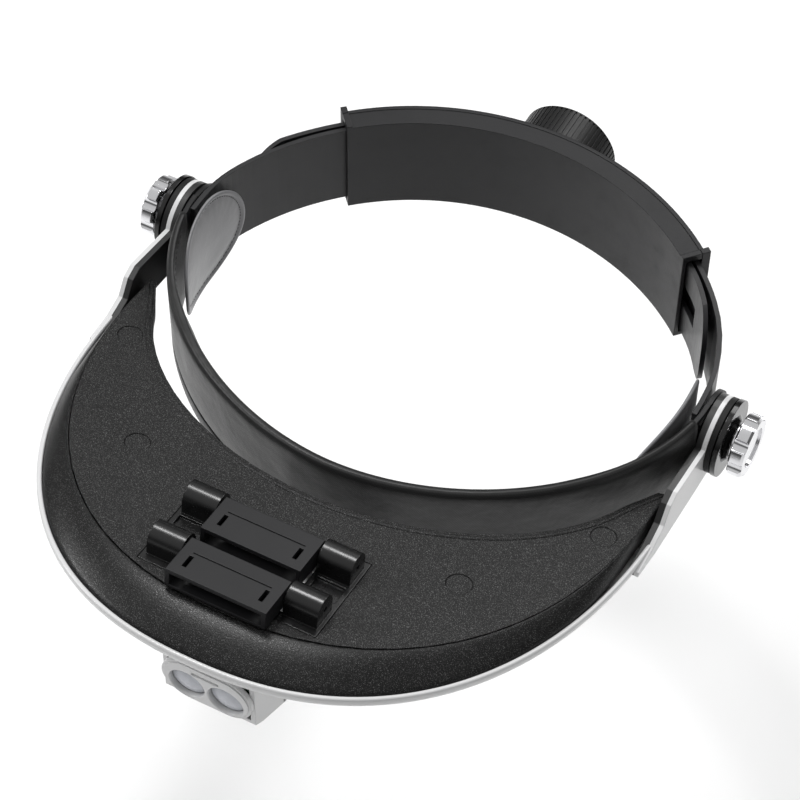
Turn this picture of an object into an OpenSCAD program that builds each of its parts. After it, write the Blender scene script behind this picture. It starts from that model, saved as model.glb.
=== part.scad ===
// Head visor magnifier, resting upside down: the black liner is on top and
// the lamp and the band's lower edges stand on the floor at z = 0.
// x is to the wearer's side, y runs to the back of the head, z is up.

/* [Head band] */
// Inner radius of the rear housing
housing_r = 90.6; // [88:0.2:93]
// Height of the rear housing
housing_h = 37.5; // [36:0.5:40]
// Half angle that the rear housing covers
housing_a = 42.5; // [40:0.5:44]
// Height of the two rear straps and of the front band
strap_h = 32; // [30:0.5:33]
// Thickness of a strap
strap_t = 1.6; // [1.2:0.1:1.6]
// Half width of the front band, outside
band_a = 92.5; // [92:0.1:92.5]
// Depth of the front band in front of the pivots, outside
band_b = 77.5; // [75:0.5:79]
// Roundness of the front band's curve
band_n = 1.87; // [1.8:0.01:2]
// Radius of the round temple pads
pad_r = 18.5; // [16:0.5:18.5]

/* [Rear knob] */
// Outer radius of the adjusting knob
knob_r = 17; // [14:0.5:17.5]
// Back face of the adjusting knob
knob_back = 113.5; // [111:0.5:116]
// Pitch radius of the pinion
pinion_r = 4.2; // [4.1:0.05:4.25]

/* [Pivots] */
// Place of the pivot axis behind the head's centre
pivot_y = 19.3; // [19:0.1:20]
// Height of the pivot axis
pivot_z = 22.5; // [21.5:0.5:23]
// Angle between the visor plate and the band
visor_tilt = 10.16; // [9:0.1:11]
// Radius of the pivot bolts
bolt_r = 2; // [1.8:0.1:2.2]
// Radius of the chrome knobs
star_r = 10.3; // [9:0.1:11]

/* [Visor] */
// Half width of the visor at its rim
rim_a = 96.2; // [95.5:0.1:96.4]
// Length of the rim in front of its centre
rim_b = 126; // [122:0.5:128]
// Roundness of the rim
rim_n = 2.3; // [2.2:0.05:2.4]
// Half width of the flat part of the liner
crease_a = 91.6; // [90:0.1:92]
// Length of the flat part of the liner in front of its centre
crease_b = 110.2; // [106:0.2:112]
// Half width of the visor's inner edge
inner_a = 87; // [86:0.2:87.4]
// Length of the inner edge in front of its centre
inner_b = 67.1; // [66:0.1:68]
// Depth of the white shell under its rim
dome_depth = 9; // [7:0.5:9.5]

/* [Lens holders] */
// Width of a lens holder
holder_w = 33.2; // [30:0.2:33.6]
// Depth of a lens holder in front of its hinge
holder_d = 13.9; // [12:0.1:14.2]
// Height of the slot that a lens tab slides into
slot_h = 4.4; // [3.6:0.1:4.5]
// Distance between the two holders' hinges
holder_pitch = 19.8; // [19.6:0.1:20.2]

/* [Lamp] */
// Front face of the lamp
lamp_front = -131.5; // [-132:0.1:-130]
// Distance between the two lamp lenses
lens_pitch = 13.2; // [12.8:0.1:13.6]
// Radius of a lamp lens
lens_r = 5.8; // [5.4:0.1:6]
// Length of one AAA cell
cell_l = 44.5; // [44:0.1:44.5]

/* [Hidden] */
$fn = 64;
mid_z = housing_h / 2;
strap_z = (housing_h - strap_h) / 2;
gap = 0.2;

// visor frame: origin on the pivot axis, plate level below it
plate_z = -5.1;
rim_c = -34;
inner_c = -20;
lip_w = 1.5;
lip_z = plate_z - 3;
lip_drop = 3.2;
rear_hinge = -110.8;
front_hinge = rear_hinge - holder_pitch;
hinge_z = plate_z + 3.9;
boss_in = holder_w / 2 + 0.6;
boss_out = boss_in + 11.2;
boss_r = 4.6;
pin_r = 1;
frame_w = 29.6;

// radii of the layers in the rear housing
channel_r = housing_r + 1.4;
outer_r = housing_r + 8.2;
cover_r = outer_r - 1.4;
left_r = channel_r + 0.5 + strap_t / 2;
right_r = left_r + 1 + strap_t;
strap_x = 89.4;
strap_end_y = 13.5;
rack_pitch = 2 * PI * pinion_r / 8;

// places across the pivot
band_t = 1.5;
arm_in = 93.1;
arm_out = 96.6;
disc_r = 12.5;

// lamp
lamp_back = -69;
lamp_top = 16.2;
nose_top = 21;
nose_back = -112;
wall = 1.6;
lens_z = 9.8;
tilt_y = -100;
tilt_z = 11;
cell_r = 5.25;
cell_back = lamp_back - 4.1;
cell_z = 7.6;

// the box's middle, so that the origin stands under the middle of the object
front_edge = pivot_y - (rim_b - rim_c) * cos(visor_tilt)
    + (lip_z - lip_drop - 1.2) * sin(visor_tilt);
centre_y = (front_edge + knob_back) / 2;

// ---- helpers ----

// point of a superellipse in front of its centre c; t runs from side to side
function oval(t, a, b, n, c) =
    [a * sign(cos(t)) * pow(abs(cos(t)), 2 / n), c - b * pow(abs(sin(t)), 2 / n)];

// moves everything from the head's centre to the object's own origin
module placed() {
    translate([0, -centre_y, 0]) children();
}

// draws in the visor's own frame
module on_visor() {
    placed() translate([0, pivot_y, pivot_z]) rotate([-visor_tilt, 0, 0]) children();
}

// wall round a vertical axis, from angle a0 to a1 measured from the back
module arc_wall(r0, r1, a0, a1, z0, z1) {
    translate([0, 0, z0]) rotate([0, 0, 90 - a1]) rotate_extrude(angle = a1 - a0, $fn = 180)
        translate([r0, 0]) square([r1 - r0, z1 - z0]);
}

// rod along x from x0 to x1
module rod_x(r, x0, x1, y, z, r2 = -1) {
    translate([x0, y, z]) rotate([0, 90, 0]) cylinder(r1 = r, r2 = r2 < 0 ? r : r2, h = x1 - x0);
}

// rod along y from y0 to y1
module rod_y(r, y0, y1, x, z, r2 = -1) {
    translate([x, y0, z]) rotate([-90, 0, 0]) cylinder(r1 = r, r2 = r2 < 0 ? r : r2, h = y1 - y0);
}

// block between two corners
module block(p, q) {
    translate(p) cube(q - p);
}

// strip that follows the front band's curve between two offsets from its outside
module band_strip(in, out, t0, z0, z1) {
    steps = 44;
    ts = [for (i = [0:steps]) t0 + (180 - 2 * t0) * i / steps];
    outer = [for (t = ts) oval(t, band_a + out, band_b + out, band_n, pivot_y)];
    inner = [for (i = [steps:-1:0]) oval(ts[i], band_a + in, band_b + in, band_n, pivot_y)];
    translate([0, 0, z0]) linear_extrude(z1 - z0) polygon(concat(outer, inner));
}

// ---- head band ----

module front_band() {
    color([0.09, 0.09, 0.1]) placed() difference() {
        union() {
            band_strip(-band_t, 0, 0, strap_z, strap_z + strap_h);
            for (s = [-1, 1]) intersection() {
                rod_x(15.5, s > 0 ? band_a - band_t : -band_a, s > 0 ? band_a : band_t - band_a,
                    pivot_y, mid_z);
                block([-100, 12, 0], [100, 60, 40]);
            }
        }
        rod_x(bolt_r + 0.03, -100, 100, pivot_y, pivot_z);
    }
}

module sweatband() {
    flap = 9;
    low = 1.5;
    high = housing_h - 1.4;
    ends = 20.4;
    color([0.05, 0.05, 0.055]) placed() {
        band_strip(-4.9, -band_t - 0.1, ends, low, high);
        for (z = [[low, low + flap], [high - flap, high]])
            band_strip(0.1, 0.9, ends, z[0], z[1]);
        band_strip(-4.9, 0.9, ends, low, strap_z - 0.1);
        band_strip(-4.9, 0.9, ends, strap_z + strap_h + 0.1, high);
    }
}

// soft round pad that bends with the side of the head
module temple_pad(s) {
    thick = 2.6;
    bend = 50;
    color([0.4, 0.4, 0.42]) placed() intersection() {
        translate([s * (87 - bend), pivot_y - 3.3, 0]) difference() {
            cylinder(r = bend, h = housing_h, $fn = 180);
            translate([0, 0, -1]) cylinder(r = bend - thick, h = housing_h + 2, $fn = 180);
        }
        rod_x(pad_r, s > 0 ? 70 : -90, s > 0 ? 90 : -70, pivot_y - 3.3, mid_z);
    }
}

module temple_pad_left() { temple_pad(-1); }
module temple_pad_right() { temple_pad(1); }

module pivot_bolt(s) {
    color([0.75, 0.75, 0.77]) placed() mirror([s < 0 ? 1 : 0, 0, 0]) {
        rod_x(4.2, 87.4, 87.9, pivot_y, pivot_z);
        rod_x(bolt_r, 87.8, 106.3, pivot_y, pivot_z);
    }
}

module pivot_bolt_left() { pivot_bolt(-1); }
module pivot_bolt_right() { pivot_bolt(1); }

// point on a circle of radius r about c, at angle a measured from the back
function back_at(r, a, c = [0, 0]) = [c[0] + r * sin(a), c[1] + r * cos(a)];

// strap fixed at the right temple, its free tail running to the left;
// r is its middle radius, tip_a the angle where its round tip starts,
// rack is 1 for teeth on the upper edge, -1 on the lower
module strap(r, tail_bend, rack, tip_a) {
    h = strap_t / 2;
    lean = atan2(r - strap_x, pivot_y);
    turn = 90 - 2 * lean;
    off = pivot_y / cos(turn);
    side = [off * sin(turn), pivot_y];
    tail_a = housing_a + 1.5;
    tail_c = back_at(r - tail_bend, -tail_a);
    tail_end = tail_a + (64 - tail_a) * r / tail_bend;
    step = rack_pitch / r * 180 / PI;
    // the corners of the plan lie midway between the rack's teeth
    first = ceil(-tail_a / step);
    last = floor(turn / step) - 1;
    function plan(w) = concat(
        [for (i = [0:10]) back_at(tail_bend + w, -tail_end + (tail_end - tail_a) * i / 10, tail_c)],
        [for (k = [first:last]) back_at(r + w, (k + 0.5) * step)],
        [for (i = [0:6]) back_at(r - off + w, turn + (90 - turn) * i / 6, side)],
        [[strap_x + w, strap_end_y]]);
    inside = plan(-h);
    difference() {
        translate([0, 0, strap_z]) linear_extrude(strap_h)
            polygon(concat(plan(h), [for (i = [len(inside) - 1:-1:0]) inside[i]]));
        rotate([0, 0, tip_a]) difference() {
            block([-60, 20, -5], [0, 200, 45]);
            rod_y(strap_h / 2 + 0.6, 10, 210, 0, mid_z);
        }
        // slot, with the notches in one of its edges
        arc_wall(r - 4, r + 4, 1.7 - tip_a, 6 * step, mid_z + (rack > 0 ? -5.4 : -3.9),
            mid_z + (rack > 0 ? 3.9 : 5.4));
        for (k = [-20:5]) rotate([0, 0, -k * step])
            block([-1.05, r - 4, mid_z + (rack > 0 ? 3 : -5.25)],
                [1.05, r + 4, mid_z + (rack > 0 ? 5.25 : -3)]);
        rod_x(3.2, 80, 100, pivot_y, pivot_z);
    }
}

module left_strap() {
    color([0.13, 0.13, 0.14]) placed() mirror([1, 0, 0]) strap(left_r, 60, -1, 50.5);
}

module right_strap() {
    color([0.13, 0.13, 0.14]) placed() strap(right_r, 120, 1, 53);
}

// ---- rear housing ----

module rear_inner_cover() {
    a = housing_a;
    color([0.22, 0.22, 0.24]) placed() difference() {
        union() {
            arc_wall(housing_r, channel_r, -a, a, 0, housing_h);
            for (z = [0, housing_h - 1.6]) arc_wall(channel_r - 0.2, cover_r - gap, -a, a, z, z + 1.6);
            for (s = [-1, 1]) arc_wall(housing_r, cover_r - gap, s * (a - 0.6) - 0.6,
                s * (a - 0.6) + 0.6, housing_h - 0.4, housing_h + 0.8);
        }
        rod_y(2.1, housing_r + 0.7, 95, 0, mid_z);
    }
}

module rear_outer_cover() {
    a = housing_a;
    color([0.2, 0.2, 0.21]) placed() difference() {
        union() {
            arc_wall(cover_r, outer_r, -a, a, 0, housing_h);
            for (s = [-1, 1]) arc_wall(cover_r, outer_r + 1.5, s * (a - 0.6) - 0.6,
                s * (a - 0.6) + 0.6, 0, housing_h + 0.8);
            rod_y(12.5, cover_r + 0.2, outer_r + 1.6, 0, mid_z);
        }
        rod_y(3.36, 90, 110, 0, mid_z);
        rod_y(11, outer_r + 0.2, 110, 0, mid_z);
    }
}

// toothed ring that the knob clicks over
module ratchet_ring() {
    color([0.85, 0.85, 0.82]) placed() difference() {
        rod_y(10.9, outer_r + 0.25, outer_r + 1.9, 0, mid_z);
        rod_y(8, 90, 110, 0, mid_z);
        for (k = [0:23]) translate([0, 0, mid_z]) rotate([0, k * 15, 0])
            rod_y(0.7, 90, 110, 8.2, 0);
    }
}

module pinion_shaft() {
    color([0.85, 0.85, 0.82]) placed() difference() {
        union() {
            rod_y(3.3, channel_r + 0.3, knob_back - 5, 0, mid_z);
            rod_y(2, housing_r + 0.9, channel_r + 0.4, 0, mid_z);
            for (k = [0:7]) translate([0, 0, mid_z]) rotate([0, k * 45, 0])
                rod_y(0.65, channel_r + 0.4, cover_r - 0.3, pinion_r - 0.001, 0);
            for (k = [0:7]) translate([0, 0, mid_z]) rotate([0, k * 45, 0])
                block([2.5, channel_r + 0.4, -0.45], [pinion_r, cover_r - 0.3, 0.45]);
        }
        rod_y(1.1, knob_back - 13, knob_back, 0, mid_z);
    }
}

module rear_knob() {
    y0 = outer_r + 0.6;
    color([0.12, 0.12, 0.13]) placed() difference() {
        translate([0, knob_back, mid_z]) rotate([90, 0, 0]) rotate_extrude($fn = 120)
            polygon([[0, 0], [knob_r - 1.2, 0], [knob_r, 1.2], [knob_r, knob_back - y0],
                [knob_r - 1.4, knob_back - y0], [knob_r - 1.4, 4.5], [5.6, 4.5],
                [5.6, 11.6], [0, 11.6]]);
        rod_y(3.33, 90, knob_back - 5, 0, mid_z);
        rod_y(1.4, 90, knob_back + 1, 0, mid_z);
        rod_y(3.2, knob_back - 2.4, knob_back + 1, 0, mid_z);
        for (k = [0:59]) translate([0, 0, mid_z]) rotate([0, k * 6, 0])
            block([knob_r - 0.45, y0 - 1, -0.35], [knob_r + 1, knob_back - 1.4, 0.35]);
    }
}

module knob_screw() {
    color([0.7, 0.7, 0.72]) placed() difference() {
        union() {
            rod_y(2.8, knob_back - 2.3, knob_back - 0.5, 0, mid_z);
            rod_y(1.05, knob_back - 11, knob_back - 2.2, 0, mid_z);
        }
        for (k = [0, 90]) translate([0, 0, mid_z]) rotate([0, k, 0])
            block([-1.7, knob_back - 1.3, -0.3], [1.7, knob_back, 0.3]);
    }
}

// ---- visor ----

// t is the angle round the inner edge, 8 to 172; the rim's own angle
// starts later, behind a straight stretch that runs back along the arm.
// Near its tips the inner edge spreads out, so that it clears the band
// when the visor swings.
tip_t = 8;
bend_t = 12;
tip_l = 4.7;
ring_angles = [for (i = [0:36]) tip_t + (180 - 2 * tip_t) * i / 36];
function fold(t) = min(t, 180 - t);
function rim_t(t) = let(u = 90 * pow(max(fold(t) - bend_t, 0) / (90 - bend_t), 1.25)) t > 90 ? 180 - u : u;
function straight(t) = [0, tip_l * max(bend_t - fold(t), 0) / (bend_t - tip_t)];
function rim(t, in = 0) = oval(rim_t(t), rim_a - in, rim_b - in, rim_n, rim_c) + straight(t);
function crease(t) = oval(rim_t(t), crease_a, crease_b, 2.25, rim_c) + straight(t);
function inner(t) = oval(t, inner_a, inner_b, 2, inner_c)
    + [sign(cos(t)) * 3.3 * pow(max(18 - fold(t), 0) / 10, 1.3), 0];
function rim_z(t) = lip_z - lip_drop * sin(t);
function blend(p, q, v) = p + (q - p) * v;
function at(p, z) = [p[0], p[1], z];

// outside of the white shell at v, from the rim (0) to the inner edge (1)
function dome_z(t, v) = let(low = rim_z(t) - 3 - dome_depth * pow(sin(t), 0.6), edge = plate_z - 5)
    v < 0.55 ? rim_z(t) - 1.2 + (low - rim_z(t) + 1.2) * sqrt(1 - pow(1 - v / 0.55, 2))
    : low + (edge - low) * pow((v - 0.55) / 0.45, 2);

// joins rings of points, one ring for each step, into a closed solid
module skin_rings(rings) {
    n = len(rings[0]);
    m = len(rings);
    sides = [for (i = [0:m - 2], j = [0:n - 1]) each [
        [i * n + j, i * n + (j + 1) % n, (i + 1) * n + j],
        [i * n + (j + 1) % n, (i + 1) * n + (j + 1) % n, (i + 1) * n + j]]];
    first = [for (j = [n - 1:-1:0]) j];
    last = [for (j = [0:n - 1]) (m - 1) * n + j];
    polyhedron([for (r = rings) each r], concat([first], sides, [last]), convexity = 8);
}

module visor_shell() {
    thick = 1.8;
    outs = [0.015, 0.05, 0.11, 0.2, 0.32, 0.44, 0.55, 0.68, 0.8, 0.92, 1];
    ins = [0.975, 0.92, 0.8, 0.68, 0.55, 0.44, 0.32, 0.2, 0.11, 0.06];
    rings = [for (t = ring_angles) let(p = rim(t), q = inner(t), r = rim(t, lip_w)) concat(
        [at(p, rim_z(t)), at(p, rim_z(t) - 1.2)],
        [for (v = outs) at(blend(p, q, v), dome_z(t, v))],
        [at(q, plate_z - 3.4), at(blend(q, p, 0.04), plate_z - 3.4)],
        [for (v = ins) at(blend(p, q, v), min(dome_z(t, v) + thick, plate_z - 3.6))],
        [at(r, rim_z(t) - 3), at(r, rim_z(t))])];
    color([0.93, 0.93, 0.93]) on_visor() skin_rings(rings);
}

// side arm with its round head, moulded on to the shell
module visor_arm(s) {
    color([0.93, 0.93, 0.93]) on_visor() mirror([s < 0 ? 1 : 0, 0, 0]) difference() {
        union() {
            rod_x(disc_r, arm_in, arm_out, 0, 0);
            translate([arm_in, 0, 0]) rotate([90, 0, 90]) linear_extrude(arm_out - arm_in)
                polygon([[0, -12.5], [4, 2.4], [-34, 2.4], [-38, 0], [-41, -6], [-48, -9.4],
                    [-58, -11.5], [-58, -13.2], [-44, -14.5], [-20, -13.6]]);
            block([arm_in - 3.5, -33, -12.5], [arm_in + 1, -30.6, -8.6]);
        }
        rod_x(bolt_r + 0.06, -10, 110, 0, 0);
    }
}

module visor_arm_left() { visor_arm(-1); }
module visor_arm_right() { visor_arm(1); }

// posts inside the shell that carry the liner
module screw_posts() {
    color([0.93, 0.93, 0.93]) on_visor() for (s = [-1, 1], p = [[55, -96.9, -20], [83, -55.8, -14.4]])
        translate([s * p[0], p[1], p[2]]) difference() {
            cylinder(r = 2.4, h = plate_z - 1.65 - p[2]);
            translate([0, 0, 1.5]) cylinder(r = 1.25, h = 20);
        }
}

// flat part of the liner with its window
module visor_liner() {
    outer = [for (t = ring_angles) blend(crease(t), inner(t), 0.004)];
    edge = [for (i = [36:-1:0]) blend(inner(ring_angles[i]), crease(ring_angles[i]), 0.02)];
    color([0.1, 0.1, 0.11]) on_visor() difference() {
        translate([0, 0, plate_z - 1.6]) linear_extrude(1.6) polygon(concat(outer, edge));
        block([-frame_w - gap, -138.2, -30], [frame_w + gap, -103.8, 10]);
        plug_places() translate([0, 0, -1]) cylinder(r = 4.1, h = 2);
        plug_places() translate([0, 0, -9]) cylinder(r = 1.3, h = 10);
    }
}

// border that falls from the flat part to the rim
module liner_border() {
    steps = [0, 0.2, 0.4, 0.6, 0.8, 0.99];
    function inset(t) = lip_w + 0.3 + 1.7 * min(1, max(0, (34 - fold(t)) / 12));
    function fall(t, v) = plate_z + (rim_z(t) + 0.3 - plate_z) * pow(1 - v, 1.5);
    rings = [for (t = ring_angles) let(p = rim(t, inset(t)), c = crease(t)) concat(
        [for (v = steps) at(blend(p, c, v), fall(t, v))],
        [for (v = [0.99, 0.5, 0]) at(blend(p, c, v), fall(t, v) - 1.6)])];
    color([0.1, 0.1, 0.11]) on_visor() skin_rings(rings);
}

// the four round marks on the liner, each over a screw
module plug_places() {
    for (s = [-1, 1], p = [[55, -96.9], [83, -55.8]]) translate([s * p[0], p[1], plate_z]) children();
}

module liner_plugs() {
    color([0.09, 0.09, 0.1]) on_visor() plug_places() translate([0, 0, -0.95])
        cylinder(r = 4, h = 0.75);
}

module liner_screws() {
    color([0.7, 0.7, 0.72]) on_visor() plug_places() {
        translate([0, 0, -7]) cylinder(r = 1.2, h = 5.9);
    }
}

// clip-in frame with the four hinge bosses of the lens holders
module hinge_frame() {
    color([0.11, 0.11, 0.12]) on_visor() difference() {
        union() {
            block([-frame_w, -138, plate_z - 2], [frame_w, -104, plate_z]);
            for (s = [-1, 1], y = [rear_hinge, front_hinge]) {
                x0 = s > 0 ? boss_in : -boss_out;
                rod_x(boss_r, x0, x0 + boss_out - boss_in, y, hinge_z);
                block([x0, y - boss_r, plate_z - 1], [x0 + boss_out - boss_in, y + boss_r, hinge_z]);
            }
        }
        block([-boss_in + 0.4, -134.5, plate_z - 5], [boss_in - 0.4, -106.5, 10]);
        for (s = [-1, 1]) block([s > 0 ? 18.5 : -28, -123.6, plate_z - 0.9],
            [s > 0 ? 28 : -18.5, -116.6, plate_z + 1]);
        for (y = [rear_hinge, front_hinge]) rod_x(pin_r + 0.02, -40, 40, y, hinge_z);
    }
}

module holder_pins() {
    color([0.7, 0.7, 0.72]) on_visor() for (y = [rear_hinge, front_hinge])
        rod_x(pin_r, -boss_out + 1.5, boss_out - 1.5, y, hinge_z);
}

// flat sleeve for a lens tab, hinged at its back edge
module lens_holder(y) {
    w = holder_w / 2;
    color([0.2, 0.2, 0.22]) on_visor() translate([0, y, hinge_z]) difference() {
        union() {
            block([-w, -holder_d, -2.6], [w, 1, 4.1]);
            rod_x(2.6, -w, w, 0.2, 0);
        }
        block([-w + 1.4, -holder_d - 1, -1.7], [w - 1.4, -2.8, slot_h - 1.7]);
        for (x = [-12.6, 12.6]) block([x - 0.7, -10.4, 1], [x + 0.7, -5.6, 10]);
        block([-13, -4.4, 3.7], [13, -4, 10]);
        rod_x(pin_r + 0.06, -40, 40, 0, 0);
    }
}

module lens_holder_front() { lens_holder(front_hinge); }
module lens_holder_rear() { lens_holder(rear_hinge); }

// ---- pivot hardware ----

module friction_disc(s) {
    color([0.07, 0.07, 0.07]) placed() mirror([s < 0 ? 1 : 0, 0, 0]) difference() {
        union() {
            rod_x(disc_r, arm_out + 0.1, arm_out + 1.9, pivot_y, pivot_z);
            rod_x(disc_r - 1.6, arm_out + 1.8, arm_out + 2.3, pivot_y, pivot_z);
        }
        rod_x(bolt_r + 0.06, 90, 110, pivot_y, pivot_z);
    }
}

module friction_disc_left() { friction_disc(-1); }
module friction_disc_right() { friction_disc(1); }

module pressure_disc(s) {
    x0 = arm_out + 2.4;
    color([0.08, 0.08, 0.08]) placed() mirror([s < 0 ? 1 : 0, 0, 0]) difference() {
        union() {
            rod_x(disc_r + 0.3, x0, x0 + 1.6, pivot_y, pivot_z);
            rod_x(8.2, x0 + 1.5, x0 + 2.8, pivot_y, pivot_z, 6.4);
        }
        rod_x(bolt_r + 0.06, 90, 110, pivot_y, pivot_z);
    }
}

module pressure_disc_left() { pressure_disc(-1); }
module pressure_disc_right() { pressure_disc(1); }

// chrome knob with eight lobes and a short collar
module star_knob(s) {
    x0 = arm_out + 5.5;
    color([0.85, 0.85, 0.87]) placed() mirror([s < 0 ? 1 : 0, 0, 0]) difference() {
        union() {
            rod_x(5.6, x0, x0 + 1.3, pivot_y, pivot_z);
            rod_x(star_r - 0.6, x0 + 1.2, x0 + 1.8, pivot_y, pivot_z, star_r);
            rod_x(star_r, x0 + 1.8, x0 + 5.2, pivot_y, pivot_z);
            rod_x(star_r, x0 + 5.2, x0 + 6, pivot_y, pivot_z, star_r - 0.8);
        }
        for (k = [0:7]) translate([0, pivot_y, pivot_z]) rotate([k * 45, 0, 0])
            rod_x(2.3, x0 + 1, x0 + 7, star_r + 0.9, 0);
        rod_x(3.2, x0 - 1, x0 + 4.4, pivot_y, pivot_z);
        rod_x(6.6, x0 + 5.4, x0 + 7, pivot_y, pivot_z);
    }
}

module star_knob_left() { star_knob(-1); }
module star_knob_right() { star_knob(1); }

module knob_nut(s) {
    x0 = arm_out + 5.6;
    color([0.8, 0.68, 0.35]) placed() mirror([s < 0 ? 1 : 0, 0, 0]) difference() {
        rod_x(3.18, x0, x0 + 4.2, pivot_y, pivot_z);
        rod_x(bolt_r + 0.06, x0 - 1, x0 + 6, pivot_y, pivot_z);
    }
}

module knob_nut_left() { knob_nut(-1); }
module knob_nut_right() { knob_nut(1); }

// ---- lamp ----

// plan of the lamp, narrow at its face; in is the distance inside the outline
module lamp_plan(in) {
    polygon([[15.5 - in, lamp_front + 2], [23 - in, tilt_y - 1], [23 - in, lamp_back - in],
        [in - 23, lamp_back - in], [in - 23, tilt_y - 1], [in - 15.5, lamp_front + 2]]);
}

module lamp_side(in) {
    rotate([90, 0, 90]) translate([0, 0, -30]) linear_extrude(60)
        polygon([[lamp_front + 2, in + 1], [lamp_front + 2, nose_top - in],
            [nose_back - in * 0.3, nose_top - in], [-104 - in * 0.3, lamp_top - in],
            [lamp_back - in, lamp_top - in], [lamp_back - in, in], [lamp_front + 5, in]]);
}

// oval outline of the lamp's face
module face_oval(grow, y0, y1) {
    r = 9.1 + grow;
    z = 11.4;
    for (x = [-6.2, 6.2]) rod_y(r, y0, y1, x, z);
    block([-6.2, y0, z - r], [6.2, y1, z + r]);
}

module lamp_housing() {
    color([0.9, 0.9, 0.9]) placed() difference() {
        intersection() {
            linear_extrude(30) lamp_plan(0);
            lamp_side(0);
        }
        intersection() {
            linear_extrude(30) lamp_plan(wall);
            lamp_side(wall);
        }
        face_oval(-1.6, lamp_front - 1, lamp_front + 4);
        block([-17, cell_back - cell_l - 0.6, -1], [17, cell_back + 1, 3]);
        block([-18.6, cell_back - cell_l - 0.6, 0.3], [18.6, lamp_back + 1, 1.7]);
        rod_x(1.53, -40, 40, tilt_y, tilt_z);
        block([20, -92.5, 8.3], [30, -84.5, 12.3]);
    }
}

module lamp_bezel() {
    color([0.95, 0.95, 0.95]) placed() difference() {
        union() {
            face_oval(0, lamp_front + 0.4, lamp_front + 1.9);
            face_oval(-0.9, lamp_front, lamp_front + 0.5);
        }
        for (s = [-1, 1]) {
            rod_y(lens_r + 0.1, lamp_front - 1, lamp_front + 3, s * lens_pitch / 2, lens_z);
            rod_y(lens_r + 0.9, lamp_front - 1, lamp_front + 0.5, s * lens_pitch / 2, lens_z,
                lens_r + 0.1);
        }
        block([-4.6, lamp_front - 1, lens_z + 6.4], [4.6, lamp_front + 1, lens_z + 7.6]);
    }
}

module lamp_lenses() {
    color([0.8, 0.82, 0.88, 0.6]) placed() for (s = [-1, 1])
        translate([s * lens_pitch / 2, lamp_front + 2.6, lens_z]) rotate([90, 0, 0]) intersection() {
            cylinder(r = lens_r, h = 4);
            translate([0, 0, -10]) sphere(r = 12.2);
        }
}

module lamp_reflectors() {
    color([0.85, 0.85, 0.87]) placed() for (s = [-1, 1])
        translate([s * lens_pitch / 2, lamp_front + 2.7, lens_z]) rotate([-90, 0, 0]) difference() {
            cylinder(r1 = lens_r, r2 = 3.4, h = 6.4);
            translate([0, 0, -0.01]) cylinder(r1 = lens_r - 0.6, r2 = 2.7, h = 6.5);
        }
}

module lamp_leds() {
    color([0.95, 0.95, 0.8]) placed() for (s = [-1, 1]) {
        rod_y(2.5, lamp_front + 5, lamp_front + 9.4, s * lens_pitch / 2, lens_z);
        translate([s * lens_pitch / 2, lamp_front + 5, lens_z]) sphere(r = 2.5);
    }
}

module circuit_board() {
    color([0.1, 0.4, 0.2]) placed() block([-14.5, lamp_front + 9.5, 3.2], [14.5, lamp_front + 11, 18]);
}

module battery_cells() {
    color([0.25, 0.3, 0.35]) placed() for (x = [-10.7, 0, 10.7]) {
        rod_y(cell_r, cell_back - cell_l + 1, cell_back, x, cell_z);
        rod_y(1.9, cell_back - cell_l, cell_back - cell_l + 1.1, x, cell_z);
    }
}

module battery_contacts() {
    color([0.8, 0.75, 0.6]) placed() for (x = [-10.7, 0, 10.7]) {
        block([x - 4, cell_back - cell_l - 0.5, 3.6], [x + 4, cell_back - cell_l - 0.1, 11.6]);
        rod_y(3, cell_back + 0.1, cell_back + 2.4, x, cell_z, 2.2);
    }
}

module battery_door() {
    color([0.9, 0.9, 0.9]) placed() difference() {
        block([-18.3, cell_back - cell_l - 0.3, 0.4], [18.3, lamp_back - 0.1, 1.6]);
        for (k = [0:5]) block([-8, lamp_back - 6 - k * 1.6, -1], [8, lamp_back - 5.2 - k * 1.6, 0.7]);
    }
}

module switch_slider() {
    color([0.15, 0.15, 0.16]) placed() {
        block([20.9, -92.2, 8.6], [24.2, -88.2, 12]);
        block([20.2, -92.2, 7.8], [21.2, -86, 12.8]);
    }
}

module lamp_bracket() {
    color([0.9, 0.9, 0.9]) placed() difference() {
        union() {
            block([-26, tilt_y - 4, 17.2], [26, tilt_y + 6, 19.2]);
            for (x = [-16, 16]) block([x - 6, tilt_y - 3, 19], [x + 6, tilt_y + 5, 22]);
            for (s = [-1, 1]) block([s > 0 ? 23.5 : -26, tilt_y - 4, tilt_z],
                [s > 0 ? 26 : -23.5, tilt_y + 4, 17.4]);
            for (s = [-1, 1]) rod_x(4, s > 0 ? 23.5 : -26, s > 0 ? 26 : -23.5, tilt_y, tilt_z);
        }
        rod_x(1.52, -40, 40, tilt_y, tilt_z);
        for (s = [-1, 1]) translate([s * 16, tilt_y + 2, 10]) cylinder(r = 1.2, h = 11);
    }
}

module bracket_screws() {
    color([0.7, 0.7, 0.72]) placed() for (s = [-1, 1]) translate([s * 16, tilt_y + 2, 16.7]) {
        cylinder(r = 2.4, h = 0.5);
        cylinder(r = 1.15, h = 3.2);
    }
}

module lamp_pins() {
    color([0.7, 0.7, 0.72]) placed() for (s = [-1, 1])
        rod_x(1.48, s > 0 ? 21 : -26.4, s > 0 ? 26.4 : -21, tilt_y, tilt_z);
}

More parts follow.
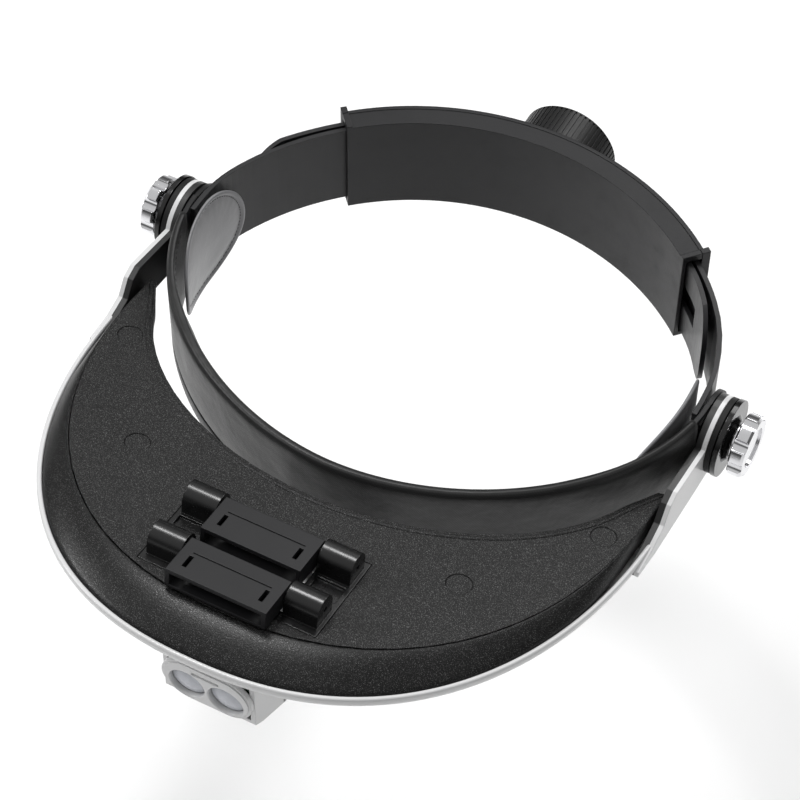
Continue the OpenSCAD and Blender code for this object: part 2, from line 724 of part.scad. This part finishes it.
front_band();
sweatband();
temple_pad_left();
temple_pad_right();
pivot_bolt_left();
pivot_bolt_right();
left_strap();
right_strap();
rear_inner_cover();
rear_outer_cover();
ratchet_ring();
pinion_shaft();
rear_knob();
knob_screw();
visor_shell();
visor_arm_left();
visor_arm_right();
screw_posts();
visor_liner();
liner_border();
liner_plugs();
liner_screws();
hinge_frame();
holder_pins();
lens_holder_front();
lens_holder_rear();
friction_disc_left();
friction_disc_right();
pressure_disc_left();
pressure_disc_right();
star_knob_left();
star_knob_right();
knob_nut_left();
knob_nut_right();
lamp_bracket();
bracket_screws();
lamp_pins();
lamp_housing();
lamp_bezel();
lamp_lenses();
lamp_reflectors();
lamp_leds();
circuit_board();
battery_cells();
battery_contacts();
battery_door();
switch_slider();
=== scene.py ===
import math

import bmesh
import bpy
from mathutils import Matrix, Vector


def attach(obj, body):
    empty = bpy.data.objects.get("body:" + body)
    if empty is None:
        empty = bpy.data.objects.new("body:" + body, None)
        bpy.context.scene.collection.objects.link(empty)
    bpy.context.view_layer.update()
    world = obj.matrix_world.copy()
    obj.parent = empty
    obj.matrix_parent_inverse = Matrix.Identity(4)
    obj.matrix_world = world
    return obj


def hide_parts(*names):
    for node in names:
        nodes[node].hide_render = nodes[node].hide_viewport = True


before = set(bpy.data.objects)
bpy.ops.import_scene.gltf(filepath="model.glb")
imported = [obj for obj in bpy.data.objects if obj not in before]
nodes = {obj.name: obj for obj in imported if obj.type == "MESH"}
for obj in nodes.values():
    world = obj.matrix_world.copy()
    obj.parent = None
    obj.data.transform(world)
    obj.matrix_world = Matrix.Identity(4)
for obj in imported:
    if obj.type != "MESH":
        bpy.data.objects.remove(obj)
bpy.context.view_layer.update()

print("frame loaded")

mm = 0.001


# ---- shader helpers ----

class Wire:
    # a socket that can be used in sums
    def __init__(self, tree, socket):
        self.tree = tree
        self.socket = socket

    def maths(self, operation, first, second):
        node = self.tree.nodes.new("ShaderNodeMath")
        node.operation = operation
        for place, value in enumerate((first, second)):
            if isinstance(value, Wire):
                self.tree.links.new(value.socket, node.inputs[place])
            else:
                node.inputs[place].default_value = value
        return Wire(self.tree, node.outputs[0])

    def __add__(self, other): return self.maths("ADD", self, other)
    def __radd__(self, other): return self.maths("ADD", other, self)
    def __sub__(self, other): return self.maths("SUBTRACT", self, other)
    def __rsub__(self, other): return self.maths("SUBTRACT", other, self)
    def __mul__(self, other): return self.maths("MULTIPLY", self, other)
    def __rmul__(self, other): return self.maths("MULTIPLY", other, self)
    def __pow__(self, other): return self.maths("POWER", self, other)
    def __abs__(self): return self.maths("ABSOLUTE", self, 0.0)
    def over(self, limit): return self.maths("GREATER_THAN", self, limit)


class Finish:
    # one material, with its shader ready
    def __init__(self, name, **fixed):
        self.material = bpy.data.materials.new(name)
        self.material.use_nodes = True
        self.tree = self.material.node_tree
        self.shader = self.tree.nodes["Principled BSDF"]
        for key, value in fixed.items():
            self.shader.inputs[key.replace("_", " ")].default_value = value

    def node(self, kind, settings=None, out=0, **sockets):
        made = self.tree.nodes.new(kind)
        for key, value in (settings or {}).items():
            setattr(made, key, value)
        for key, value in sockets.items():
            place = int(key[1:]) if key[0] == "i" and key[1:].isdigit() else key.replace("_", " ")
            self.feed(made.inputs[place], value)
        return Wire(self.tree, made.outputs[out])

    def feed(self, socket, value):
        if isinstance(value, Wire):
            self.tree.links.new(value.socket, socket)
        else:
            socket.default_value = value

    def set(self, **sockets):
        for key, value in sockets.items():
            self.feed(self.shader.inputs[key.replace("_", " ")], value)

    def place(self):
        return self.node("ShaderNodeTexCoord", out=3)

    def noise(self, scale, detail=2.0, rough=0.5):
        return self.node("ShaderNodeTexNoise", Vector=self.place(), Scale=scale, Detail=detail, Roughness=rough)

    def shade(self, amount, dark, light):
        return self.node("ShaderNodeMix", {"data_type": "RGBA"}, out=2, i0=amount, i6=dark, i7=light)

    def bump(self, height, depth, base=None):
        more = {} if base is None else {"Normal": base}
        return self.node("ShaderNodeBump", Height=height, Strength=1.0, Distance=depth, **more)

    def softEdge(self, radius):
        return self.node("ShaderNodeBevel", {"samples": 6}, Radius=radius)


def grey(value, blue=0.0):
    return (value, value, value + blue, 1)


plastics = {  # base grey, blue tint, roughness, grain scale and depth, rounding of edges, specular level
    "blackPlastic": (0.009, 0.0005, 0.42, 2600, 0.00003, 0.35 * mm, 0.3),
    "charcoalPlastic": (0.009, 0.001, 0.46, 2200, 0.00003, 0.5 * mm, 0.32),
    "holderPlastic": (0.01, 0.001, 0.45, 2600, 0.00002, 0.35 * mm, 0.35),
    "strapPlastic": (0.012, 0.001, 0.4, 2400, 0.00002, 0.25 * mm, 0.35),
    "hingePlastic": (0.005, 0.0002, 0.27, 1800, 0.00001, 0.4 * mm, 0.5),
    "glossBlack": (0.005, 0.0, 0.14, 900, 0.000005, 0.3 * mm, 0.5),
    "discRubber": (0.006, 0.0, 0.55, 3000, 0.00003, 0.2 * mm, 0.25),
    "knobRubber": (0.008, 0.0, 0.38, 3000, 0.00003, 0.15 * mm, 0.35),
}


def plastic(name):
    base, blue, rough, scale, depth, edge, level = plastics[name]
    finish = Finish(name, IOR=1.5, Specular_IOR_Level=level)
    grain = finish.noise(scale, 3, 0.6)
    cloud = finish.noise(38, 3)
    rubbed = finish.noise(160, 4, 0.65) ** 3.0
    finish.set(
        Base_Color=finish.shade(cloud, grey(base * 0.75, blue), grey(base * 1.35, blue)),
        Roughness=rough - 0.1 + cloud * 0.14 + rubbed * 0.25,
        Normal=finish.bump(grain, depth, finish.softEdge(edge)))
    return finish.material


whiteTones = ((0.58, 0.58, 0.58, 1), (0.67, 0.67, 0.675, 1))


def whitePlastic():
    finish = Finish("whitePlastic", IOR=1.5, Coat_Weight=0.25, Coat_Roughness=0.12)
    cloud = finish.noise(22, 4)
    scuff = finish.noise(420, 5, 0.7) ** 6.0
    finish.set(
        Base_Color=finish.shade(cloud, *whiteTones),
        Roughness=0.24 + cloud * 0.08 + scuff * 0.6,
        Normal=finish.bump(finish.noise(1500, 2), 0.000008, finish.softEdge(0.4 * mm)))
    return finish.material


armShape = {"paintedShade": 95.1}  # distance from the middle where the painted shade ends


def armPlastic():
    # white outside, with painted shade: the part towards the head is coloured dark, standing in for the shade
    # on its inner face
    finish = Finish("armPlastic", IOR=1.5, Coat_Roughness=0.12, Coat_Weight=0.25)
    cloud = finish.noise(22, 4)
    side = finish.node("ShaderNodeSeparateXYZ", Vector=finish.place())
    outside = abs(side).over(armShape["paintedShade"] * mm)
    paintedShade = 1.0 - outside
    white = finish.shade(cloud, *whiteTones)
    finish.set(
        # painted shade: dark colour on the side towards the head
        Base_Color=finish.shade(paintedShade, white, finish.shade(cloud, grey(0.008), grey(0.014))),
        Roughness=0.26 + cloud * 0.08 + paintedShade * 0.2,
        Normal=finish.bump(finish.noise(1500, 2), 0.000008, finish.softEdge(0.4 * mm)))
    return finish.material


def linerPlastic(name, paintedGlintShare, level, rough):
    # fine leathery grain with painted glints: light grey spots in the colour stand in for light sparkling on
    # its peaks
    finish = Finish(name, IOR=1.5, Specular_IOR_Level=level)
    grain = finish.noise(2100, 2, 0.6)
    pebble = finish.node("ShaderNodeTexVoronoi", Vector=finish.place(), Scale=2000.0)
    cloud = finish.noise(30, 3)
    paintedGlint = finish.noise(4200, 1).over(paintedGlintShare)
    finish.set(
        # painted glints: light grey spots mixed into the colour
        Base_Color=finish.shade(paintedGlint * 0.55, finish.shade(cloud, grey(0.004), grey(0.008)), grey(0.2)),
        Roughness=rough - paintedGlint * 0.15 + cloud * 0.08,
        Normal=finish.bump(grain + pebble * 0.8, 0.00003, finish.softEdge(0.5 * mm)))
    return finish.material


def metal(name, colour, rough, lines):
    finish = Finish(name, Metallic=1.0)
    streak = finish.noise(lines, 3, 0.6)
    cloud = finish.noise(60, 3)
    dark = tuple(c * 0.86 for c in colour) + (1,)
    finish.set(
        Base_Color=finish.shade(cloud, dark, colour + (1,)),
        Roughness=rough + streak * rough * 0.8,
        Normal=finish.bump(streak, 0.000004, finish.softEdge(0.25 * mm)))
    return finish.material


def vinyl():
    finish = Finish("padVinyl", IOR=1.5)
    crease = finish.node("ShaderNodeTexVoronoi", {"feature": "DISTANCE_TO_EDGE"},
                         Vector=finish.place(), Scale=1500.0)
    cloud = finish.noise(45, 3)
    finish.set(
        Base_Color=finish.shade(cloud, grey(0.15, 0.005), grey(0.22, 0.008)),
        Roughness=0.28 + cloud * 0.14,
        Normal=finish.bump(crease, 0.00004, finish.bump(finish.noise(70, 3), 0.0005)))
    return finish.material


def bandCloth():
    # fine knitted cover of the sweatband, with soft creases
    finish = Finish("bandCloth", IOR=1.45, Sheen_Weight=0.08, Sheen_Roughness=0.4, Specular_IOR_Level=0.5)
    weaveA = finish.node("ShaderNodeTexWave", {"bands_direction": "Z"}, Vector=finish.place(), Scale=620.0,
                         Distortion=1.5, Detail=2.0, Detail_Scale=3.0)
    weaveB = finish.node("ShaderNodeTexWave", {"bands_direction": "DIAGONAL"}, Vector=finish.place(),
                         Scale=560.0, Distortion=2.0, Detail=2.0)
    cloud = finish.noise(55, 4)
    finish.set(
        Base_Color=finish.shade(weaveA * weaveB, grey(0.004), finish.shade(cloud, grey(0.008), grey(0.015))),
        Roughness=0.36 + cloud * 0.12 + weaveA * 0.04,
        Normal=finish.bump(weaveA + weaveB * 0.7, 0.00002, finish.bump(finish.noise(75, 3), 0.0007)))
    return finish.material


def lensPlastic():
    finish = Finish("lampLens", IOR=1.5, Transmission_Weight=0.2)
    frost = finish.noise(900, 3)
    finish.set(
        Base_Color=finish.shade(frost, (0.58, 0.6, 0.65, 1), (0.7, 0.72, 0.77, 1)),
        Roughness=0.16 + frost * 0.1,
        Normal=finish.bump(frost, 0.000008))
    return finish.material


def plainMatter(name, dark, light, rough, scale):
    finish = Finish(name)
    cloud = finish.noise(scale, 4)
    finish.set(Base_Color=finish.shade(cloud, dark + (1,), light + (1,)), Roughness=rough + cloud * 0.15,
               Normal=finish.bump(cloud, 0.00002))
    return finish.material


finishes = {name: plastic(name) for name in plastics}
finishes.update({
    "white": whitePlastic(), "arm": armPlastic(), "liner": linerPlastic("linerPlastic", 0.63, 0.25, 0.5),
    "border": linerPlastic("borderPlastic", 0.64, 0.22, 0.3), "vinyl": vinyl(), "cloth": bandCloth(),
    "lens": lensPlastic(),
    "chrome": metal("chromePlate", (0.86, 0.86, 0.88), 0.07, 900),
    "steel": metal("plainSteel", (0.55, 0.55, 0.56), 0.3, 1500),
    "brass": metal("turnedBrass", (0.8, 0.62, 0.3), 0.25, 1500),
    "mirror": metal("brightCup", (0.9, 0.9, 0.9), 0.08, 900),
    "resin": plainMatter("ledResin", (0.6, 0.55, 0.3), (0.8, 0.76, 0.5), 0.2, 400),
    "board": plainMatter("boardGreen", (0.02, 0.1, 0.05), (0.03, 0.15, 0.07), 0.4, 500),
    "cell": plainMatter("cellSleeve", (0.04, 0.06, 0.1), (0.06, 0.09, 0.14), 0.3, 200),
})

worn = {
    "front_band": "blackPlastic", "left_strap": "strapPlastic", "right_strap": "strapPlastic",
    "rear_inner_cover": "charcoalPlastic", "rear_outer_cover": "charcoalPlastic",
    "ratchet_ring": "blackPlastic", "pinion_shaft": "blackPlastic", "rear_knob": "knobRubber",
    "knob_screw": "steel", "visor_shell": "white", "visor_arm_left": "arm", "visor_arm_right": "arm",
    "screw_posts": "white", "visor_liner": "liner", "liner_border": "border", "liner_plugs": "liner",
    "liner_screws": "steel", "hinge_frame": "hingePlastic", "holder_pins": "steel",
    "lens_holder_front": "holderPlastic", "lens_holder_rear": "holderPlastic",
    "friction_disc_left": "discRubber", "friction_disc_right": "discRubber",
    "pressure_disc_left": "glossBlack", "pressure_disc_right": "glossBlack",
    "star_knob_left": "chrome", "star_knob_right": "chrome", "knob_nut_left": "brass",
    "knob_nut_right": "brass", "lamp_bracket": "white", "bracket_screws": "steel", "lamp_pins": "steel",
    "lamp_housing": "white", "lamp_bezel": "white", "lamp_lenses": "lens", "lamp_reflectors": "mirror",
    "lamp_leds": "resin", "circuit_board": "board", "battery_cells": "cell", "battery_contacts": "steel",
    "battery_door": "white", "switch_slider": "blackPlastic", "pivot_bolt_left": "steel",
    "pivot_bolt_right": "steel", "sweatband": "cloth", "temple_pad_left": "vinyl",
    "temple_pad_right": "vinyl",
}
for name, finishName in worn.items():
    for place in nodes[name].material_slots:
        place.material = finishes[finishName]
print("finishes ready")


# ---- mesh helpers ----

def settle(name, bm, finishName, body):
    mesh = bpy.data.meshes.new(name)
    bmesh.ops.remove_doubles(bm, verts=bm.verts, dist=1e-7)
    bmesh.ops.recalc_face_normals(bm, faces=bm.faces)
    for face in bm.faces:
        face.smooth = True
    bm.to_mesh(mesh)
    bm.free()
    piece = bpy.data.objects.new(name, mesh)
    bpy.context.scene.collection.objects.link(piece)
    mesh.materials.append(finishes[finishName])
    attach(piece, body)
    return piece


# ---- the visor's curves, as in the part ----

visorShape = {
    "pivot": (32.748, 22.5), "tilt": 10.16, "plate": -5.1, "rimC": -34, "innerC": -20,
    "rimA": 96.2, "rimB": 126, "rimN": 2.3, "creaseA": 91.6, "creaseB": 110.2, "creaseN": 2.25,
    "innerA": 87, "innerB": 67.1, "lipW": 1.5, "lipDrop": 3.2, "dome": 9, "tipT": 8, "bendT": 12,
    "tipL": 4.7,
}
V = visorShape


def onVisor(x, y, z):
    turn = math.radians(V["tilt"])
    return Vector((x, V["pivot"][0] + y * math.cos(turn) + z * math.sin(turn),
                   V["pivot"][1] - y * math.sin(turn) + z * math.cos(turn))) * mm


def oval(t, a, b, n, c):
    t = math.radians(t)
    side = abs(math.cos(t)) ** (2 / n)
    return Vector((a * math.copysign(side, math.cos(t)), c - b * abs(math.sin(t)) ** (2 / n)))


def fold(t):
    return min(t, 180 - t)


def rimTurn(t):
    u = 90 * (max(fold(t) - V["bendT"], 0) / (90 - V["bendT"])) ** 1.25
    return 180 - u if t > 90 else u


def back(t):
    return Vector((0, V["tipL"] * max(V["bendT"] - fold(t), 0) / (V["bendT"] - V["tipT"])))


def rim(t, inset=0.0):
    return oval(rimTurn(t), V["rimA"] - inset, V["rimB"] - inset, V["rimN"], V["rimC"]) + back(t)


def crease(t):
    return oval(rimTurn(t), V["creaseA"], V["creaseB"], V["creaseN"], V["rimC"]) + back(t)


def inner(t):
    spread = 3.3 * (max(18 - fold(t), 0) / 10) ** 1.3
    side = math.copysign(1, math.cos(math.radians(t)))
    return oval(t, V["innerA"], V["innerB"], 2, V["innerC"]) + Vector((side * spread, 0))


def rimZ(t):
    return V["plate"] - 3 - V["lipDrop"] * math.sin(math.radians(t))


def domeZ(t, v):
    low = rimZ(t) - 3 - V["dome"] * math.sin(math.radians(t)) ** 0.6
    top = rimZ(t) - 1.2
    if v < 0.55:
        return top + (low - top) * math.sqrt(1 - (1 - v / 0.55) ** 2)
    return low + (V["plate"] - 5 - low) * ((v - 0.55) / 0.45) ** 2


def skin(name, section, steps, finishName, body, tips=(V["tipT"], 180 - V["tipT"])):
    # closed skin: one section of points for each step from tip to tip
    bm = bmesh.new()
    sections = [section(tips[0] + (tips[1] - tips[0]) * k / steps) for k in range(steps + 1)]
    count = len(sections[0])
    grid = bmesh.ops.create_grid(bm, x_segments=count, y_segments=steps, size=1)["verts"]
    for vert in grid:
        k = round((vert.co.y + 1) / 2 * steps)
        j = round((vert.co.x + 1) / 2 * count)
        vert.co = sections[k][j % count]
    bmesh.ops.remove_doubles(bm, verts=bm.verts, dist=1e-7)
    bmesh.ops.holes_fill(bm, edges=[e for e in bm.edges if e.is_boundary], sides=0)
    return settle(name, bm, finishName, body)


def shellSection(t):
    p, q, r = rim(t), inner(t), rim(t, V["lipW"])
    lip = rimZ(t)
    outs = [0.004, 0.015, 0.035, 0.06, 0.1, 0.15, 0.2, 0.27, 0.34, 0.42, 0.5, 0.58, 0.68, 0.78, 0.88, 0.95, 1]
    places = [(r, lip - 3), (r, lip - 0.35), (r.lerp(p, 0.25), lip), (r.lerp(p, 0.75), lip),
              (p, lip - 0.35), (p, lip - 1.2)]
    places += [(p.lerp(q, v), domeZ(t, v)) for v in outs]
    places += [(q, V["plate"] - 3.7), (q.lerp(p, 0.008), V["plate"] - 3.4),
               (q.lerp(p, 0.035), V["plate"] - 3.4)]
    places += [(p.lerp(q, v), min(domeZ(t, v) + 1.8, V["plate"] - 3.6))
               for v in (0.97, 0.92, 0.8, 0.68, 0.55, 0.44, 0.32, 0.2, 0.11, 0.06)]
    return [onVisor(spot.x, spot.y, z) for spot, z in places]


visorShell = skin("visorShell", shellSection, 150, "white", "visor")
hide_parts("visor_shell")


def borderSection(t):
    inset = V["lipW"] + 0.3 + 1.7 * min(1, max(0, (34 - fold(t)) / 12))
    p, c = rim(t, inset), crease(t)

    def fall(v):
        return V["plate"] + (rimZ(t) + 0.3 - V["plate"]) * (1 - v) ** 1.5
    places = [(p, fall(0) - 1.5), (p, fall(0) - 0.3), (p.lerp(c, 0.02), fall(0.02))]
    places += [(p.lerp(c, v), fall(v)) for v in (0.1, 0.2, 0.32, 0.45, 0.6, 0.75, 0.88, 0.95)]
    places += [(p.lerp(c, 0.985), fall(0.985)), (p.lerp(c, 0.992), fall(0.99) - 0.15)]
    places += [(p.lerp(c, v), fall(v) - 1.55) for v in (0.992, 0.5, 0.1)]
    return [onVisor(spot.x, spot.y, z) for spot, z in places]


linerBorder = skin("linerBorder", borderSection, 150, "border", "visor")
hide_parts("liner_border")


def rollSection(t):
    # smooth rolled edge along the liner's inner side
    c, q = crease(t), inner(t)
    length = (q - c).length
    places = [(q.lerp(c, 0.02 + s / length), V["plate"] + z) for s, z in (
        (2.6, 0.02), (1.8, 0.25), (1.0, 0.2), (0.4, -0.2), (0.1, -0.8), (0.1, -1.7), (0.5, -2.3), (1.1, -2.5),
        (1.6, -2.2), (1.7, -1.65), (2.6, -1.62))]
    return [onVisor(spot.x, spot.y, z) for spot, z in places]


linerRoll = skin("linerRoll", rollSection, 150, "liner", "visor")
print("visor ready")


# ---- sweatband ----

bandShape = {"a": 92.5, "b": 77.5, "n": 1.87, "ends": 8.0, "low": 1.5, "high": 36.1, "inside": 4.9,
             "thin": 2.0, "thinEnd": 26, "thinRun": 14, "flap": 27.0, "stitch": 2.6}
B = bandShape


def bandPoint(t, off, z):
    spot = oval(t, B["a"] + off, B["b"] + off, B["n"], V["pivot"][0])
    return Vector((spot.x, spot.y, z)) * mm


def ease(u):
    u = min(1, max(0, u))
    return u * u * (3 - 2 * u)


def foam(t):
    # thickness of the padding inside the band, thin beside the temple pads
    full = B["inside"] + 0.12 * math.sin(math.radians(t) * 9)
    return B["thin"] + (full - B["thin"]) * ease((fold(t) - B["thinEnd"]) / B["thinRun"])


def swelling(t):
    # 0 where the padding is thin, about 1 where it is full
    return (foam(t) - B["thin"]) / (B["inside"] - B["thin"])


def bandSection(t):
    # the cover turns over both edges of the band and lies flat outside it
    low, high = B["low"], B["high"]
    deep = foam(t)
    swell = swelling(t)
    slack = 0.12 * math.sin(math.radians(t) * 23) + 0.08 * math.sin(math.radians(t) * 41)
    places = [(-1.62, 3.2), (-1.62, 34.3), (-0.4, 34.86), (0.1, 34.7), (0.12, high - B["flap"]),
              (0.5, high - B["flap"] - 0.2), (0.78, high - B["flap"] + 0.4), (0.86 + slack * 0.4, high - 21),
              (0.9 + slack, high - 14), (0.92 + slack * 0.7, high - 8), (0.9, high - 4), (0.84, high - 2.1),
              (0.4, high - 0.7), (-0.4, high - 0.1), (-1.0, high),
              (-1.7 - 0.5 * swell, high - 0.3), (-1.9 - 0.9 * swell, high - 1.1),
              (-1.95 - 0.8 * swell, high - B["stitch"]), (-1.95 - 0.9 * swell, high - B["stitch"] - 0.5),
              (-2 - (deep - 2.5) * 0.7 * swell, high - 4.6), (-2 - (deep - 2.1) * swell, high - 9),
              (-deep, high - 14), (-deep, 18.5), (-2 - (deep - 2.1) * swell, 12),
              (-2 - (deep - 2.4) * swell, 7.5), (-1.9 - 1.2 * swell, low + B["stitch"] + 0.4),
              (-1.9 - 1.3 * swell, low + B["stitch"] - 0.4), (-1.9 - 1.2 * swell, low + 1.0),
              (-1.6 - 0.8 * swell, low + 0.25), (-1.2, low), (-0.3, low + 0.2), (0.6, low + 1.2),
              (0.88, low + 3), (0.86, high - B["flap"] - 1.6), (0.6, high - B["flap"] - 0.9),
              (0.12, high - B["flap"] - 0.8), (0.1, 2.9), (-0.4, 2.64)]
    return [bandPoint(t, off, z) for off, z in places]


sweatband = skin("sweatbandCover", bandSection, 132, "cloth", "headband",
                 (B["ends"], 180 - B["ends"]))
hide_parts("sweatband")


def stitches(name, spots, finishName, body, length=1.5, radius=0.22):
    # short threads, each a small rounded rod laid along the seam
    bm = bmesh.new()
    for spot, along in spots:
        rod = bmesh.ops.create_uvsphere(bm, u_segments=8, v_segments=6, radius=1)["verts"]
        turn = along.normalized().to_track_quat("Z", "Y").to_matrix().to_4x4()
        size = Matrix.Diagonal((radius * mm, radius * mm, length / 2 * mm, 1))
        bmesh.ops.transform(bm, matrix=Matrix.Translation(spot) @ turn @ size, verts=rod)
    return settle(name, bm, finishName, body)


def seamSpots(z, count):
    spots = []
    for k in range(count):
        t = 12 + 156 * (k + 0.5) / count
        depth = -1.97 - 0.87 * swelling(t)
        here, ahead = bandPoint(t, depth, z), bandPoint(t + 0.3, depth, z)
        spots.append((here, ahead - here))
    return spots


stitches("sweatbandStitches", seamSpots(B["high"] - B["stitch"] - 0.25, 92), "strapPlastic", "headband")
print("sweatband ready")


# ---- temple pads ----

padShape = {"bend": 48.7, "middle": (37.0, 29.448, 18.75), "reach": 11.0, "radius": 18.4, "seam": 16.3,
            "steps": 96, "stitches": 75}
P = padShape


def padPlace(side, across, up, proud):
    # spot on the bent pad: across runs to the back, proud towards the head
    if across < 0:
        across *= 1 + P["reach"] / P["radius"]
    turn = across / P["bend"]
    reach = P["bend"] - proud
    x, y, z = P["middle"]
    return Vector((side * (x + reach * math.cos(turn)), y + reach * math.sin(turn), z + up)) * mm


def templePad(name, side, node):
    # half a section, spun round: crowned middle, sewn groove, piped rim
    profile = [(0, 1.7), (4, 1.68), (8, 1.5), (11, 1.25), (13.5, 0.85), (15.2, 0.4), (16.0, 0.1), (16.6, 0.1),
               (17.0, 0.45), (17.6, 0.65), (18.15, 0.45), (18.4, 0), (18.15, -0.45), (17.6, -0.6), (16.8, -0.4),
               (14, -0.6), (8, -0.75), (0, -0.8)]
    bm = bmesh.new()
    verts = [bm.verts.new((r, 0, h)) for r, h in profile]
    edges = [bm.edges.new(pair) for pair in zip(verts, verts[1:])]
    bmesh.ops.spin(bm, geom=verts + edges, cent=(0, 0, 0), axis=(0, 0, 1), angle=math.tau,
                   steps=P["steps"])
    bmesh.ops.remove_doubles(bm, verts=bm.verts, dist=1e-4)
    for vert in bm.verts:
        across, up, proud = vert.co
        out = math.hypot(across, up)
        pucker = 0.07 * math.sin(math.atan2(up, across) * 26) * max(0, 1 - abs(out - 15) / 3)
        wrinkle = 0.22 * max(0, 1 - out / 15) * math.sin(up * 0.33 + across * 0.12)
        vert.co = padPlace(side, across, up, proud + (pucker + wrinkle if proud > 0 else 0))
    pad = settle(name, bm, "vinyl", "headband")
    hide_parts(node)


def padSeam(side):
    # a spot and a direction for every stitch round the pad
    spots = []
    for k in range(P["stitches"]):
        here, ahead = (padPlace(side, P["seam"] * math.cos(turn), P["seam"] * math.sin(turn), 0.12)
                       for turn in (2 * k * math.pi / P["stitches"], (2 * k + 1) * math.pi / P["stitches"]))
        spots.append((here, ahead - here))
    return spots


for word, side in (("Left", -1), ("Right", 1)):
    templePad("templePad" + word, side, "temple_pad_" + word.lower())
    stitches("padStitches" + word, padSeam(side), "blackPlastic", "headband", 0.95, 0.14)
print("pads ready")


# ---- stage ----

stageShape = {"floor": 3.0, "drop": 0.17}  # low enough for the visor's full swing
bm = bmesh.new()
bmesh.ops.create_grid(bm, x_segments=2, y_segments=2, size=stageShape["floor"])
bmesh.ops.translate(bm, vec=(0, 0, -stageShape["drop"]), verts=bm.verts)
mesh = bpy.data.meshes.new("floor")
bm.to_mesh(mesh)
bm.free()
floor = bpy.data.objects.new("floor", mesh)
bpy.context.scene.collection.objects.link(floor)
mesh.materials.append(plainMatter("paleFloor", (0.96, 0.96, 0.96), (0.98, 0.98, 0.98), 0.8, 3))

skyShape = {  # height above the horizon and grey there
    "greys": ((0.0, 0.5), (0.12, 0.1), (0.34, 0.3), (0.6, 1.0)), "strength": 0.6,
}
world = bpy.data.worlds.new("softSky")
bpy.context.scene.world = world
world.use_nodes = True
skyTree = world.node_tree
height = skyTree.nodes.new("ShaderNodeSeparateXYZ")
skyTree.links.new(skyTree.nodes.new("ShaderNodeTexCoord").outputs["Generated"], height.inputs[0])
ramp = skyTree.nodes.new("ShaderNodeValToRGB")
skyTree.links.new(height.outputs["Z"], ramp.inputs[0])
while len(ramp.color_ramp.elements) < len(skyShape["greys"]):
    ramp.color_ramp.elements.new(0.5)
for element, (position, value) in zip(ramp.color_ramp.elements, skyShape["greys"]):
    element.position = position
    element.color = grey(value)
skyTree.links.new(ramp.outputs[0], skyTree.nodes["Background"].inputs[0])
skyTree.nodes["Background"].inputs[1].default_value = skyShape["strength"]
bpy.context.scene.view_settings.view_transform = "Standard"

lamps = {  # place, size and power of each soft box
    "left": ((-0.85, -0.3, 0.62), 0.3, 4.0), "top": ((-0.3, 0.22, 1.0), 0.22, 4.5),
    "behind": ((0.1, 0.9, 0.8), 0.6, 4.5),
}
for name, (spot, size, power) in lamps.items():
    data = bpy.data.lights.new(name, "AREA")
    data.size = size
    data.energy = power
    light = bpy.data.objects.new(name, data)
    bpy.context.scene.collection.objects.link(light)
    light.location = spot
    light.rotation_euler = (Vector(spot) - Vector((0, 0, 0.02))).to_track_quat("Z", "Y").to_euler()

cameraShape = {"azimuth": 27.562, "elevation": 51.333, "roll": 0.666, "eye": (252.5, -480.65, 696.5),
               "lens": 123.98}
az, el, roll = (math.radians(cameraShape[k]) for k in ("azimuth", "elevation", "roll"))
away = Vector((math.sin(az) * math.cos(el), -math.cos(az) * math.cos(el), math.sin(el)))
across = Vector((math.cos(az), math.sin(az), 0))
upward = away.cross(across)
right = across * math.cos(roll) + upward * math.sin(roll)
upright = away.cross(right)
camera = bpy.data.objects.new("camera", bpy.data.cameras.new("camera"))
bpy.context.scene.collection.objects.link(camera)
camera.data.lens = cameraShape["lens"]
camera.data.sensor_width = 36
facing = Matrix((right, upright, away)).transposed().to_4x4()
camera.matrix_world = Matrix.Translation(Vector(cameraShape["eye"]) * mm) @ facing
bpy.context.scene.camera = camera
print("stage ready")
